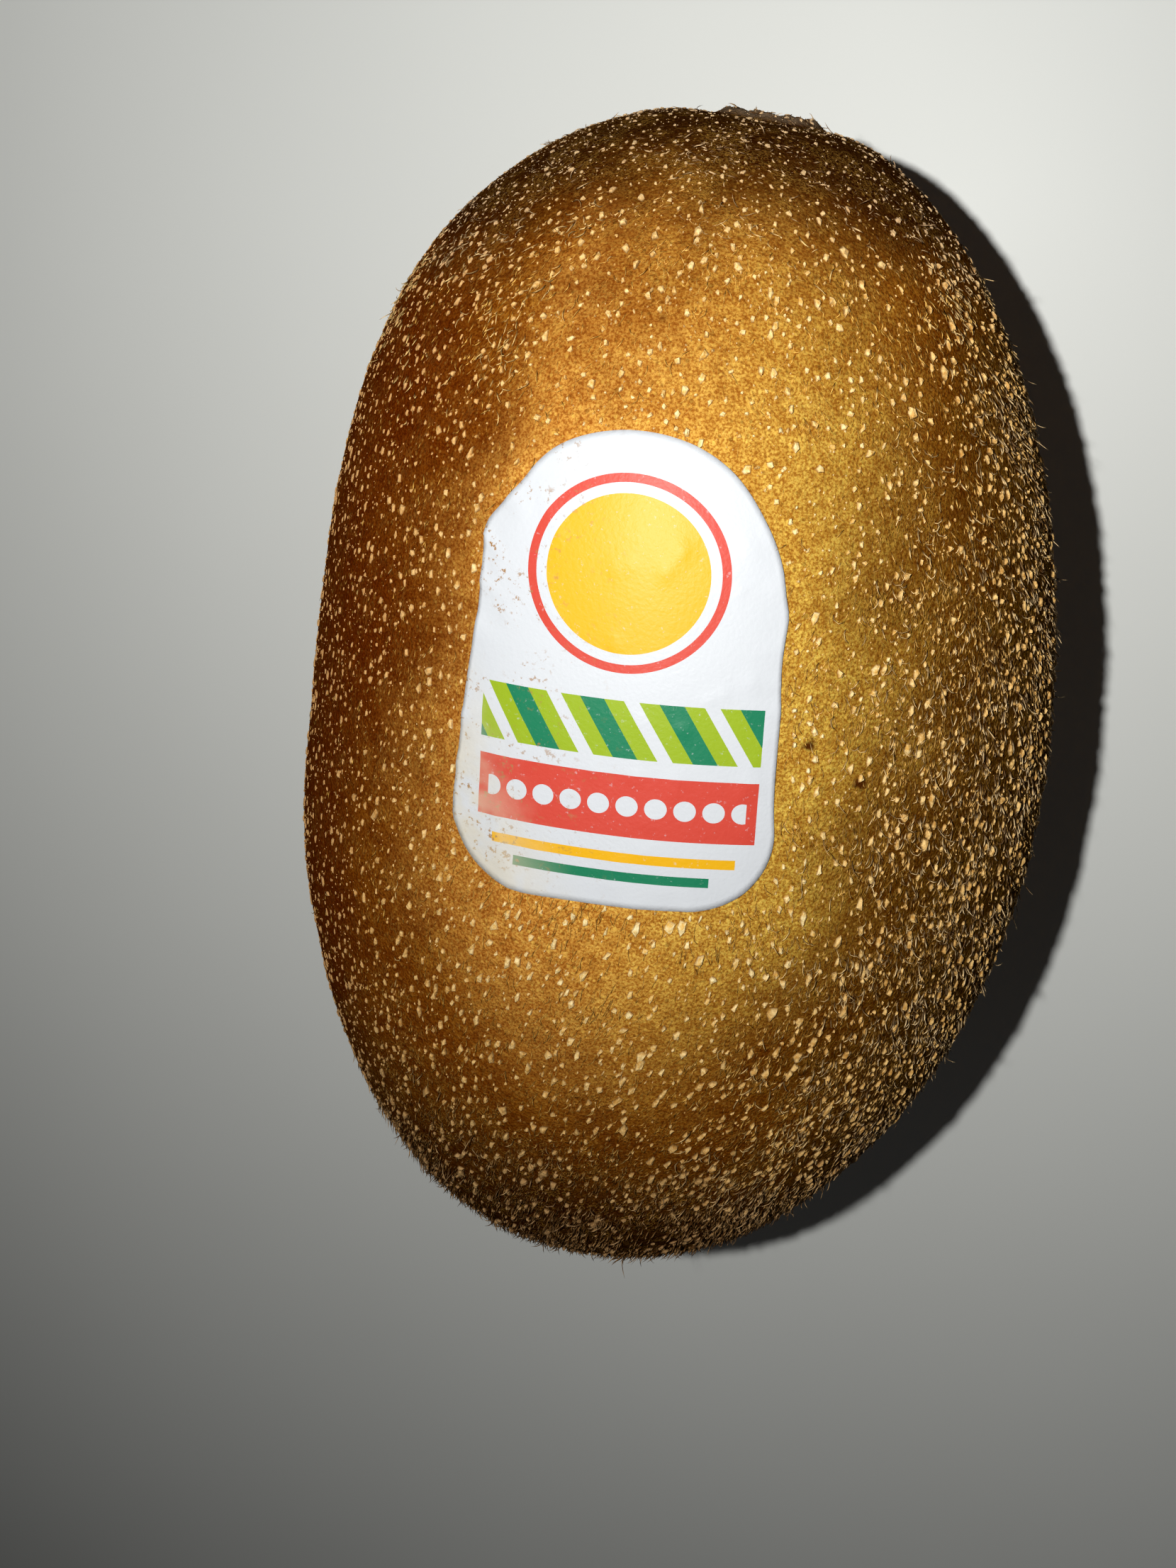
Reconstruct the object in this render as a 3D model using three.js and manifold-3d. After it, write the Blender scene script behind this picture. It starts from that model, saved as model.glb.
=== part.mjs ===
// A golden kiwi fruit lying on its side, with the paper label that it is sold with.
//
// Units are millimetres and +Z is up. The stem end points along +Y and the blossom end along -Y.
// The origin is under the middle of the fruit, on the surface that it lies on.
//
// Three pieces: the fruit itself, the crown of dried styles left by the flower at the blossom end,
// and the label stuck on the upper side.

import * as THREE from "three";
import { mergeVertices } from "three/addons/utils/BufferGeometryUtils.js";
import Module from "manifold-3d";

const wasm = await Module();
wasm.setup();

// The fruit's driving sizes
const HALF_WIDTH = 25.5;
const HALF_HEIGHT = 24;
const STEM_LENGTH = 44.5; // from the widest ring to the stem end, without its basin
const BLOSSOM_LENGTH = 37.4; // from the widest ring to the blossom end
const STEM_FULLNESS = 2.75; // exponent of the profile: 2 is an ellipse, more is blunter
const BLOSSOM_FULLNESS = 2;
const SHOULDER_SKEW = 0.82; // how much blunter the -X shoulder of the stem end is than the +X one
const FULLNESS_BLEND = 0.4; // share of each half over which one fullness turns into the other
const BLOSSOM_LEAN = 1.1; // how far the blossom end leans towards -X
const FLAT_DEPTH = 0.3; // how much the fruit's own weight flattens its underside

// The basin and the stalk's scar at the stem end, and the dimple under the styles
const BASIN = { depth: 1.2, spread: 4.4 };
const SCAR = { radius: 2.7, lip: 0.6, lipWidth: 0.6 };
const DIMPLE = { depth: 1.3, spread: 3.6 };

// Lenticels, the corky dots, as low bumps on some of the surface's points
const LENTICEL = { height: 0.2, spacing: 3, keepClear: 6 };

// The fruit's grid: rings run round it, closer together at both ends
const SEGMENTS = 56;
const MIDDLE_RINGS = 52;
const STEM_RADII = [0.9, 1.7, 2.2, 2.7, 3.2, 3.9, 4.9, 6.1, 7.4]; // the rings nearest each end, by
const BLOSSOM_RADII = [1.5, 2.7, 3.9, 5.1, 6.4, 7.8]; // their distance from the long axis

// The crown of dried styles
const CROWN = { radius: 2.2, height: 0.8, sides: 20, gap: 0.3 };
const STYLES = {
  count: 15,
  length: 1.7,
  thickness: 0.54,
  rootRadius: 1.7,
  spread: 46, // lean of the outermost ones, in degrees
  curl: 0.5,
  sides: 5,
  rings: [0, 0.4, 0.75],
};

// The label: an arch with a wider, round-cornered foot, bent over the skin
const LABEL = {
  width: 19.6,
  archWidth: 17.2,
  length: 27.8,
  corner: 5.2,
  middle: [-2.4, 12.6], // its middle, in x and y from the fruit's widest ring
  turn: 4.5, // degrees towards -X
  gap: 0.25, // it bridges the lenticels
  thickness: 0.25,
};
const LABEL_GRID = { around: 60, rings: 8 };

const GOLDEN_ANGLE = Math.PI * (3 - Math.sqrt(5));
const random = (seed) => THREE.MathUtils.seededRandom(seed);
const bell = (distance, spread) => Math.exp(-((distance / spread) ** 2));

// The profile's fullness at a share of the half length (-1 at the blossom end, 1 at the stem end).
function fullness(share, angle) {
  const toStem = THREE.MathUtils.smoothstep(share, -FULLNESS_BLEND, FULLNESS_BLEND);
  const stem = STEM_FULLNESS - SHOULDER_SKEW * Math.cos(angle);
  return THREE.MathUtils.lerp(BLOSSOM_FULLNESS, stem, toStem);
}

// A point of the plain skin. angle runs round the long axis: 0 is +X, a quarter turn is up.
function plainSkin(share, angle) {
  const radius = Math.sqrt(Math.max(1 - Math.abs(share) ** fullness(share, angle), 0));
  const toBlossom = Math.min(share, 0);
  return new THREE.Vector3(
    HALF_WIDTH * radius * Math.cos(angle) - BLOSSOM_LEAN * toBlossom ** 2,
    share * (share > 0 ? STEM_LENGTH : BLOSSOM_LENGTH),
    HALF_HEIGHT * radius * Math.sin(angle),
  );
}

// The skin's outward normal, from two small steps over it.
function skinNormal(share, angle) {
  const step = 1e-3;
  const along = plainSkin(share + step, angle).sub(plainSkin(share - step, angle));
  const round = plainSkin(share, angle + step).sub(plainSkin(share, angle - step));
  return along.cross(round).normalize();
}

// How far the skin is pushed in along the fruit's axis at a distance from the axis, at either end.
function endRelief(share, distance) {
  if (share < 0) return DIMPLE.depth * bell(distance, DIMPLE.spread);
  const lip = SCAR.lip * bell(distance - SCAR.radius, SCAR.lipWidth);
  return lip - BASIN.depth * bell(distance, BASIN.spread);
}

function skin(share, angle) {
  const point = plainSkin(share, angle);
  const axisX = -BLOSSOM_LEAN * Math.min(share, 0) ** 2;
  const distance = Math.hypot(point.x - axisX, point.z);
  point.y += endRelief(share, distance);
  return point;
}

// The share of the half length at which the skin is a given distance from the long axis.
const shareAt = (distance, power) => (1 - (distance / HALF_HEIGHT) ** 2) ** (1 / power);

// Shares of the rings from the blossom end to the stem end, without the two poles.
function ringShares() {
  const blossom = BLOSSOM_RADII.map((radius) => -shareAt(radius, BLOSSOM_FULLNESS));
  const stem = STEM_RADII.map((radius) => shareAt(radius, STEM_FULLNESS)).reverse();
  const start = Math.asin(blossom.at(-1));
  const step = (Math.asin(stem[0]) - start) / (MIDDLE_RINGS + 1);
  const middle = Array.from({ length: MIDDLE_RINGS }, (_, i) => Math.sin(start + (i + 1) * step));
  return [...blossom, ...middle, ...stem];
}

// A closed surface from a pole, rings of points and a pole.
function capsule(first, rings, last, segments) {
  const points = [first, ...rings.flat(), last];
  const index = [];
  const at = (ring, k) => 1 + ring * segments + (k % segments);
  for (let k = 0; k < segments; k++) {
    index.push(0, at(0, k), at(0, k + 1));
    index.push(points.length - 1, at(rings.length - 1, k + 1), at(rings.length - 1, k));
  }
  for (let ring = 0; ring < rings.length - 1; ring++) {
    for (let k = 0; k < segments; k++) {
      const [a, b] = [at(ring, k), at(ring, k + 1)];
      const [c, d] = [at(ring + 1, k), at(ring + 1, k + 1)];
      index.push(a, c, b, b, c, d);
    }
  }
  return new THREE.BufferGeometry().setFromPoints(points).setIndex(index);
}

// Whether a surface point is raised as a lenticel. Where points crowd, fewer of them are.
function isLenticel(ring, k, points) {
  const width = points[0].distanceTo(points[1]);
  const fromAxis = (width * SEGMENTS) / (2 * Math.PI);
  const chance = Math.min((width * 2) / LENTICEL.spacing ** 2, 0.45);
  return fromAxis > LENTICEL.keepClear && random(ring * SEGMENTS + k + 1) < chance;
}

function fruitGeometry() {
  const floor = -HALF_HEIGHT + FLAT_DEPTH;
  const rings = ringShares().map((share, ring) => {
    const angles = Array.from({ length: SEGMENTS }, (_, k) => (2 * Math.PI * k) / SEGMENTS);
    const points = angles.map((angle) => skin(share, angle));
    return points.map((point, k) => {
      if (isLenticel(ring, k, points)) {
        point.addScaledVector(skinNormal(share, angles[k]), LENTICEL.height);
      }
      point.z = Math.max(point.z, floor);
      return point;
    });
  });
  return capsule(skin(-1, 0), rings, skin(1, 0), SEGMENTS);
}

// A manifold-3d solid from a closed geometry, and back.
function toSolid(geometry) {
  const merged = mergeVertices(
    new THREE.BufferGeometry()
      .setAttribute("position", geometry.getAttribute("position"))
      .setIndex(geometry.index),
  );
  return new wasm.Manifold(
    new wasm.Mesh({
      numProp: 3,
      vertProperties: merged.attributes.position.array,
      triVerts: new Uint32Array(merged.index.array),
    }),
  );
}

function toGeometry(solid) {
  const mesh = solid.getMesh();
  return new THREE.BufferGeometry()
    .setAttribute("position", new THREE.BufferAttribute(mesh.vertProperties, 3))
    .setIndex(new THREE.BufferAttribute(mesh.triVerts, 1));
}

// One dried style: a tapered stalk that starts inside the crown's disc and curls outwards. The roots
// are spread like a sunflower's seeds, and the styles fan out, so that they part from each other.
function styleGeometry(n) {
  const fromMiddle = Math.sqrt((n + 0.5) / STYLES.count);
  const turn = n * GOLDEN_ANGLE + 0.15 * random(n + 11);
  const out = new THREE.Vector3(Math.cos(turn), 0, Math.sin(turn));
  const lean = THREE.MathUtils.degToRad(STYLES.spread * fromMiddle);
  const length = STYLES.length * (0.7 + 0.4 * random(n + 83));
  const centreAt = (share) => {
    const bend = lean * (1 + STYLES.curl * share);
    return out
      .clone()
      .multiplyScalar(STYLES.rootRadius * fromMiddle + Math.sin(bend) * length * share)
      .setY(-Math.cos(bend) * length * share - CROWN.height * 0.3);
  };
  const rings = STYLES.rings.map((share) => {
    const centre = centreAt(share);
    const half = (STYLES.thickness / 2) * (1 - 0.4 * share);
    return Array.from({ length: STYLES.sides }, (_, k) => {
      const angle = (2 * Math.PI * k) / STYLES.sides;
      return centre.clone().add(new THREE.Vector3(half * Math.cos(angle), 0, half * Math.sin(angle)));
    });
  });
  const foot = centreAt(0);
  foot.y += CROWN.height * 0.15;
  return capsule(centreAt(1), rings.reverse(), foot, STYLES.sides);
}

// The crown's disc, domed on its outer side. Its axis is Y and its outer side faces -Y.
function crownDisc() {
  const profile = [
    new THREE.Vector2(0, -CROWN.height),
    new THREE.Vector2(CROWN.radius * 0.6, -CROWN.height * 0.85),
    new THREE.Vector2(CROWN.radius, -CROWN.height * 0.45),
    new THREE.Vector2(CROWN.radius * 0.95, -CROWN.height * 0.1),
    new THREE.Vector2(0, 0),
  ];
  return new THREE.LatheGeometry(profile, CROWN.sides);
}

function crownGeometry() {
  const styles = Array.from({ length: STYLES.count }, (_, n) => toSolid(styleGeometry(n)));
  return toGeometry(styles.reduce((body, style) => body.add(style), toSolid(crownDisc())));
}

// The label's flat outline at a share of the way round it, in x and y from its middle.
function labelOutline() {
  const foot = LABEL.width / 2;
  const arch = LABEL.archWidth / 2;
  const bottom = -LABEL.length / 2;
  const shape = new THREE.Shape();
  shape.moveTo(0, bottom);
  shape.lineTo(foot - LABEL.corner, bottom);
  shape.absarc(foot - LABEL.corner, bottom + LABEL.corner, LABEL.corner, -Math.PI / 2, 0, false);
  shape.lineTo(arch, LABEL.length / 2 - arch);
  shape.absarc(0, LABEL.length / 2 - arch, arch, 0, Math.PI, false);
  shape.lineTo(-foot, bottom + LABEL.corner);
  shape.absarc(LABEL.corner - foot, bottom + LABEL.corner, LABEL.corner, Math.PI, 1.5 * Math.PI, false);
  shape.lineTo(0, bottom);
  return shape.getSpacedPoints(LABEL_GRID.around).slice(0, -1);
}

// Wraps a point of the flat label over the skin, at a height above it.
function wrap(flat, height) {
  const turned = flat.clone().rotateAround(new THREE.Vector2(), THREE.MathUtils.degToRad(LABEL.turn));
  const y = LABEL.middle[1] + turned.y;
  const share = y / (y > 0 ? STEM_LENGTH : BLOSSOM_LENGTH);
  const up = plainSkin(share, Math.PI / 2).z;
  const angle = Math.PI / 2 - (LABEL.middle[0] + turned.x) / up;
  return plainSkin(share, angle).addScaledVector(skinNormal(share, angle), height);
}

function labelGeometry() {
  const outline = labelOutline();
  const shares = Array.from({ length: LABEL_GRID.rings }, (_, i) => (i + 1) / LABEL_GRID.rings);
  const face = (height) => shares.map((t) => outline.map((p) => wrap(p.clone().multiplyScalar(t), height)));
  const over = face(LABEL.gap + LABEL.thickness);
  const under = face(LABEL.gap).reverse();
  const middle = new THREE.Vector2();
  return capsule(
    wrap(middle, LABEL.gap + LABEL.thickness),
    [...over, ...under],
    wrap(middle, LABEL.gap),
    outline.length,
  );
}

function piece(name, geometry, colour, roughness) {
  geometry.computeVertexNormals();
  const material = new THREE.MeshStandardMaterial({ color: colour, roughness, metalness: 0 });
  const mesh = new THREE.Mesh(geometry, material);
  mesh.name = name;
  return mesh;
}

const fruit = piece("fruit", fruitGeometry(), "#8a5a1c", 0.62);
const styles = piece("dried_styles", crownGeometry(), "#2e1d10", 0.9);
styles.position.copy(skin(-1, 0)).y -= CROWN.gap;
const label = piece("label", labelGeometry(), "#f4f5f7", 0.45);

// The pieces are made round the fruit's long axis, then set down with their box's middle over the origin.
const pieces = new THREE.Group();
pieces.add(fruit, styles, label);
const box = new THREE.Box3().setFromObject(pieces, true);
const middle = box.getCenter(new THREE.Vector3());
pieces.position.set(-middle.x, -middle.y, -box.min.z);

const kiwi = new THREE.Group();
kiwi.add(pieces);

export default kiwi;
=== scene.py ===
# A golden kiwi fruit lying on its side with its paper label, on a pale surface.
#
# Sizes are in millimetres in the fruit's own frame: its long axis is Y, with the stem end at +Y and
# the blossom end at -Y, and the origin is in the middle of its widest ring. to_row() turns them into
# metres in the row frame, which is where every mesh is made. Directions are the same in both.

import math

import bpy
import numpy as np
from mathutils import Matrix


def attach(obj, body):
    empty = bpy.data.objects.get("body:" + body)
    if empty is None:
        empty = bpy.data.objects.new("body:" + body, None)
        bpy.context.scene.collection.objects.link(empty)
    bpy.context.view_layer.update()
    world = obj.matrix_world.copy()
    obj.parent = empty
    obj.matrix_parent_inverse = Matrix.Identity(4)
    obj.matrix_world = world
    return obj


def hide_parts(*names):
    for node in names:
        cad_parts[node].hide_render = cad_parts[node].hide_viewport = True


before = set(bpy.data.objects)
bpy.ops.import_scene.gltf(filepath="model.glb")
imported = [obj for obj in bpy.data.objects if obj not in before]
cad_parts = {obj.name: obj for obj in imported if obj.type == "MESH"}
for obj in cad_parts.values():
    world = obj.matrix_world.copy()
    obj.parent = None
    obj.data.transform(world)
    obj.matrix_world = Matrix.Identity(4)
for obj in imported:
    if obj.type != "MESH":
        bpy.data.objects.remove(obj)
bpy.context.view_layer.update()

# The fruit's sizes, the same as the solid's
HALF_WIDTH = 25.5
HALF_HEIGHT = 24.0
STEM_LENGTH = 44.5
BLOSSOM_LENGTH = 37.4
STEM_FULLNESS = 2.75
BLOSSOM_FULLNESS = 2.0
SHOULDER_SKEW = 0.82
FULLNESS_BLEND = 0.4
BLOSSOM_LEAN = 1.1
UNDERSIDE = -23.7
BASIN = {"depth": 1.2, "spread": 4.4}
SCAR = {"radius": 2.7, "lip": 0.6, "width": 0.6}
DIMPLE = {"depth": 1.3, "spread": 3.6}
ROW_ORIGIN = np.array([-0.012, 2.929, -23.7])

# The label
LABEL_WIDTH = 19.6
LABEL_ARCH = 17.2
LABEL_LENGTH = 27.8
LABEL_CORNER = 5.2
LABEL_MIDDLE = (-2.4, 12.6)
LABEL_TURN = math.radians(4.5)
PAPER_THICKNESS = 0.06
PRINT_SQUARE = 30.0  # the side of the square that the print's map covers

# Swells and hollows of the label's cut edge: (x, y, how far out, reach)
EDGE_SWELLS = (
    (-8.8, 8.0, 0.38, 0.9),
    (-7.1, 10.8, -0.45, 2.2),
    (7.4, 9.6, -0.30, 3.2),
    (8.8, 4.2, 0.20, 1.1),
    (9.0, 0.9, -0.14, 1.8),
    (-9.2, 2.5, -0.15, 2.2),
    (9.6, -7.5, -0.75, 6.0),
)

# Dark scuffs on the skin, in metres in the row frame: (x, y, reach)
SCUFFS = (
    (0.0088, 0.0072, 0.0004),
    (0.0122, 0.0050, 0.0005),
)

# For the shaders, in metres in the row frame: the long axis's height and the painted highlight, a pool of
# light painted on top
AXIS_HEIGHT = 0.0237
HIGHLIGHT_MIDDLE = (-0.0002, 0.009)
HIGHLIGHT_REACH = (0.016, 0.028)

# How many of each small thing grow on the skin
FLAKES = 8600
FLECKS = 12500
NAP_HAIRS = 30000
BENT_HAIRS = 26000
CURLED_HAIRS = 12000
WISPS = 900
STYLES = 15
STYLE_THREADS = 31

# How deep hairs and flakes are rooted, and how near to an end they grow (the t of skin())
HAIR_ROOT = 0.05
FLAKE_ROOT = 0.15
LAST_T = 1.53

GOLDEN_ANGLE = math.pi * (3 - math.sqrt(5))


# The camera, where the photographer's lens was: close above the stem end

def to_row(points):
    return (np.asarray(points) - ROW_ORIGIN) * 0.001


def camera_axes(place, aim, roll):
    """Right, up and back of a camera that looks from place to aim, turned by roll degrees."""
    forward = (aim - place) / np.linalg.norm(aim - place)
    right = np.cross(forward, (0, 1, 0))
    right /= np.linalg.norm(right)
    up = np.cross(right, forward)
    turn = math.radians(roll)
    turned_right = math.cos(turn) * right + math.sin(turn) * up
    turned_up = math.cos(turn) * up - math.sin(turn) * right
    return turned_right, turned_up, -forward


CAMERA_PLACE = np.array([6.0, 45.0, 133.0])
CAMERA_AXES = camera_axes(CAMERA_PLACE, np.array([-5.6, -2.4, 0.0]), roll=8.04)


def standing(place, axes):
    """A matrix for a camera or a light: its place in metres, and its right, up and back."""
    matrix = Matrix(np.column_stack(axes).tolist()).to_4x4()
    matrix.translation = place
    return matrix


def make_camera():
    camera = bpy.data.objects.new("camera", bpy.data.cameras.new("camera"))
    camera.data.lens = 45.57
    camera.data.sensor_width = 36
    camera.data.clip_start = 0.005
    camera.matrix_world = standing(to_row(CAMERA_PLACE), CAMERA_AXES)
    bpy.context.scene.collection.objects.link(camera)
    bpy.context.scene.camera = camera


make_camera()


# The skin's form

def bell(distance, spread):
    return np.exp(-((distance / spread) ** 2))


def ramp(value, low, high):
    """0 below low, 1 above high, and smooth between them."""
    share = np.clip((value - low) / (high - low), 0, 1)
    return share * share * (3 - 2 * share)


def unit(vectors):
    return vectors / np.linalg.norm(vectors, axis=-1, keepdims=True)


def plain_skin(share, angle):
    """A point of the skin without relief. share runs from -1 at the blossom end to 1 at the stem."""
    to_stem = ramp(share, -FULLNESS_BLEND, FULLNESS_BLEND)
    stem_fullness = STEM_FULLNESS - SHOULDER_SKEW * np.cos(angle)
    fullness = BLOSSOM_FULLNESS + to_stem * (stem_fullness - BLOSSOM_FULLNESS)
    radius = np.sqrt(np.clip(1 - np.abs(share) ** fullness, 0, None))
    x = HALF_WIDTH * radius * np.cos(angle) - BLOSSOM_LEAN * np.minimum(share, 0) ** 2
    y = share * np.where(share > 0, STEM_LENGTH, BLOSSOM_LENGTH)
    z = HALF_HEIGHT * radius * np.sin(angle)
    return np.stack([x, y, z], axis=-1)


def unevenness(point):
    """The low swells and dents of a grown skin, in millimetres."""
    x, y, z = point[..., 0], point[..., 1], point[..., 2]
    swells = np.sin(x / 5.1 + 1.3) * np.sin(y / 6.3 + 0.4) * np.cos(z / 5.7)
    ripples = np.sin(y / 2.3 + x / 3.1) * np.sin(z / 2.9 - y / 3.7 + x / 2.2)
    return 0.07 * swells + 0.03 * ripples


def skin(t, angle):
    """A point of the skin. t runs from a quarter turn back at the blossom end to one forward at the stem."""
    share = np.sin(t)
    point = plain_skin(share, angle)
    axis_x = -BLOSSOM_LEAN * np.minimum(share, 0) ** 2
    distance = np.hypot(point[..., 0] - axis_x, point[..., 2])
    dimple = DIMPLE["depth"] * bell(distance, DIMPLE["spread"])
    cracks = 0.12 * np.sin(7 * angle + 3 * distance) * bell(distance - 1.5, 0.9)
    pit = 0.35 * bell(distance, 0.6)
    lip = SCAR["lip"] * bell(distance - SCAR["radius"], SCAR["width"]) * (1 + 0.15 * np.sin(9 * angle))
    scar = lip + cracks - pit - BASIN["depth"] * bell(distance, BASIN["spread"])
    point[..., 1] += np.where(share < 0, dimple, scar)
    outward = unit(point * (1 / HALF_WIDTH**2, 0.6 / STEM_LENGTH**2, 1 / HALF_HEIGHT**2) + 1e-12)
    point += outward * (unevenness(point) * ramp(distance, 3, 9))[..., None]
    over = point[..., 2] - UNDERSIDE
    point[..., 2] = UNDERSIDE + (over + np.sqrt(over**2 + 0.01)) / 2
    return point


def skin_frame(t, angle):
    """Points of the skin with the normal, the direction to the blossom end, and the one to the side."""
    step = 2e-3
    along = skin(t + step, angle) - skin(t - step, angle)
    around = skin(t, angle + step) - skin(t, angle - step)
    cross = np.cross(along, around)
    normal = unit(cross)
    to_blossom = unit(-along + normal * np.sum(along * normal, axis=-1, keepdims=True))
    return {
        "point": skin(t, angle),
        "normal": normal,
        "down": to_blossom,
        "side": np.cross(normal, to_blossom),
        "area": np.linalg.norm(cross, axis=-1),
        "angle": angle,
    }


def pick(places, chosen):
    return {name: values[chosen] for name, values in places.items()}


# The label's outline and where it lies

def label_flat(places):
    """The flat label's own x and y for places on the skin."""
    point = places["point"]
    share = point[:, 1] / np.where(point[:, 1] > 0, STEM_LENGTH, BLOSSOM_LENGTH)
    up = plain_skin(share, np.full(len(share), math.pi / 2))[:, 2]
    turn = (places["angle"] - math.pi / 2 + math.pi) % (2 * math.pi) - math.pi
    x = -turn * up - LABEL_MIDDLE[0]
    y = point[:, 1] - LABEL_MIDDLE[1]
    cos, sin = math.cos(LABEL_TURN), math.sin(LABEL_TURN)
    return cos * x + sin * y, cos * y - sin * x


def label_inside(x, y):
    """How far inside the label's outline a flat point lies, in millimetres."""
    half = LABEL_LENGTH / 2
    arch = LABEL_ARCH / 2
    foot = LABEL_WIDTH / 2
    low = -half + LABEL_CORNER
    high = half - arch
    level = np.clip((y - low) / (high - low), 0, 1)
    side = foot + (arch - foot) * level - np.abs(x)
    dome = arch - np.hypot(x, y - high)
    corner_x = np.clip(np.abs(x) - (foot - LABEL_CORNER), 0, None)
    corner = LABEL_CORNER - np.hypot(corner_x, low - y)
    return np.where(y > high, dome, np.where(y < low, corner, side))


def off_the_label(places, margin=0.25):
    return label_inside(*label_flat(places)) < margin


# What grows where

def shade_of(point):
    """Masks of the fruit's regions, by place: both ends, both sides, the underside and the rubbed top."""
    x, y, z = point[..., 0], point[..., 1], point[..., 2]
    return {
        "stem": ramp(y + 0.012 * x**2, 35, 43),
        "blossom": ramp(-y, 12, 33),
        "right": ramp(x - 0.1 * y, 5, 19),
        "left": ramp(-x, 8, 22),
        "under": ramp(-z, 0, 18),
        "rubbed": np.exp(-(((x + 1) / 13) ** 2) - ((y - 24) / 12) ** 2) * (z > 0),
    }


def patches(point, size, seed):
    """Uneven patches over the skin, from 0 to 1."""
    x, y, z = (point / size + seed).T
    waves = np.sin(x + 1.7 * np.sin(y))
    waves += np.sin(1.3 * y + 1.9 * np.sin(z))
    waves += np.sin(1.1 * z + 1.5 * np.sin(x))
    return 0.5 + waves / 6


def fuzz_amount(point):
    here = shade_of(point)
    amount = 0.8 + 1.0 * here["right"] + 0.7 * here["blossom"] + 0.3 * here["under"]
    amount *= (1 - 0.9 * here["rubbed"]) * (1 - 0.8 * here["left"] * (1 - here["blossom"]))
    return amount * (1 - 0.65 * here["stem"]) * (0.15 + 1.8 * patches(point, 1.7, 3.1) ** 2)


def curl_amount(point):
    here = shade_of(point)
    shoulder = ramp(point[..., 1], 22, 36) * ramp(-point[..., 0], 8, 15)
    amount = 0.01 + 1.2 * here["right"] + 0.2 * here["blossom"] + 1.2 * here["stem"] + 1.4 * shoulder
    return amount * (1 - 0.95 * here["rubbed"]) * (0.05 + 1.9 * patches(point, 1.6, 7.7) ** 2.5)


def flake_amount(point):
    here = shade_of(point)
    return (1 + 0.5 * here["left"] - 0.3 * here["blossom"]) * (1 - 0.15 * here["rubbed"])


def fleck_amount(point):
    here = shade_of(point)
    sides = 1.5 * here["left"] + 0.5 * here["right"]
    return 0.6 + sides + 0.9 * here["rubbed"] + 1.4 * here["stem"] - 0.3 * here["blossom"]


def lay_of(point):
    """Which way the nap lies: the turn from straight to the blossom end, and how much it strays."""
    here = shade_of(point)
    turn = -0.03 - 0.26 * ramp(-point[:, 1] - 0.4 * point[:, 0], -4, 18)
    turn += 0.14 * np.sin(point[:, 1] / 5 + point[:, 0] / 7) * (1 - here["blossom"])
    stray = 0.14 + 1.7 * here["stem"] + 1.2 * here["rubbed"] - 0.25 * here["blossom"]
    return turn, stray


def stance_of(point):
    """How much longer hairs are than the usual, and how much more they stand: a fringe at the blossom end."""
    here = shade_of(point)
    fringe = ramp(-point[:, 1], 20, 31)
    longer = (1 + 0.12 * fringe) * (1 - 0.45 * here["stem"]) * (1 - 0.35 * here["left"] * (1 - fringe))
    longer *= 1 - 0.18 * here["right"]
    standing = 0.36 * fringe - 0.12 * here["left"] * (1 - fringe) - 0.22 * here["stem"]
    standing += 0.02 * here["right"] * (1 - fringe)
    return longer[:, None], standing[:, None]


def scatter(count, seed, amount):
    """Places drawn at random over the skin, more of them where amount(point) is higher."""
    rng = np.random.default_rng(seed)
    tries = count * 7
    t = rng.uniform(-LAST_T, LAST_T, tries)
    angle = rng.uniform(0, 2 * math.pi, tries)
    places = skin_frame(t, angle)
    weight = places["area"] * amount(places["point"])
    return pick(places, rng.choice(len(t), count, replace=False, p=weight / weight.sum()))


def spread_out(points, gap):
    """Which points stay when each keeps a gap to those before it."""
    taken = {}
    kept = []
    for number, point in enumerate(points):
        cell = tuple(np.floor(point / gap).astype(int))
        near = [
            other
            for dx in (-1, 0, 1)
            for dy in (-1, 0, 1)
            for dz in (-1, 0, 1)
            for other in taken.get((cell[0] + dx, cell[1] + dy, cell[2] + dz), ())
        ]
        if all(np.sum((point - other) ** 2) > gap * gap for other in near):
            taken.setdefault(cell, []).append(point)
            kept.append(number)
    return np.array(kept)


# Meshes

def make_piece(name, points, face_sets, material, uv=None, smooth=True):
    """A mesh object of points in millimetres, which rides on the fruit. uv has a place for each corner."""
    mesh = bpy.data.meshes.new(name)
    corners = np.concatenate([faces.ravel() for faces in face_sets]).astype(np.int32)
    sizes = np.concatenate([np.full(len(faces), faces.shape[1]) for faces in face_sets])
    starts = np.concatenate([[0], np.cumsum(sizes)[:-1]]).astype(np.int32)
    mesh.vertices.add(len(points))
    mesh.vertices.foreach_set("co", to_row(points).astype(np.float32).ravel())
    mesh.loops.add(len(corners))
    mesh.loops.foreach_set("vertex_index", corners)
    mesh.polygons.add(len(sizes))
    mesh.polygons.foreach_set("loop_start", starts)
    mesh.polygons.foreach_set("use_smooth", np.full(len(sizes), smooth))
    mesh.update(calc_edges=True)
    for map_name, values in (uv or {}).items():
        layer = mesh.uv_layers.new(name=map_name)
        spots = values if len(values) == len(corners) else values[corners]
        layer.data.foreach_set("uv", spots.astype(np.float32).ravel())
    mesh.materials.append(material)
    piece = bpy.data.objects.new(name, mesh)
    bpy.context.scene.collection.objects.link(piece)
    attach(piece, "root")
    return piece


def cells(count, corners):
    """A map in which each of many small things has its own square. corners are places in the square."""
    across = math.ceil(math.sqrt(count))
    number = np.arange(count)
    low = np.stack([number % across, number // across], axis=-1)[:, None, :]
    return ((low + 0.08 + 0.84 * corners[None]) / across).reshape(-1, 2)


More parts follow.
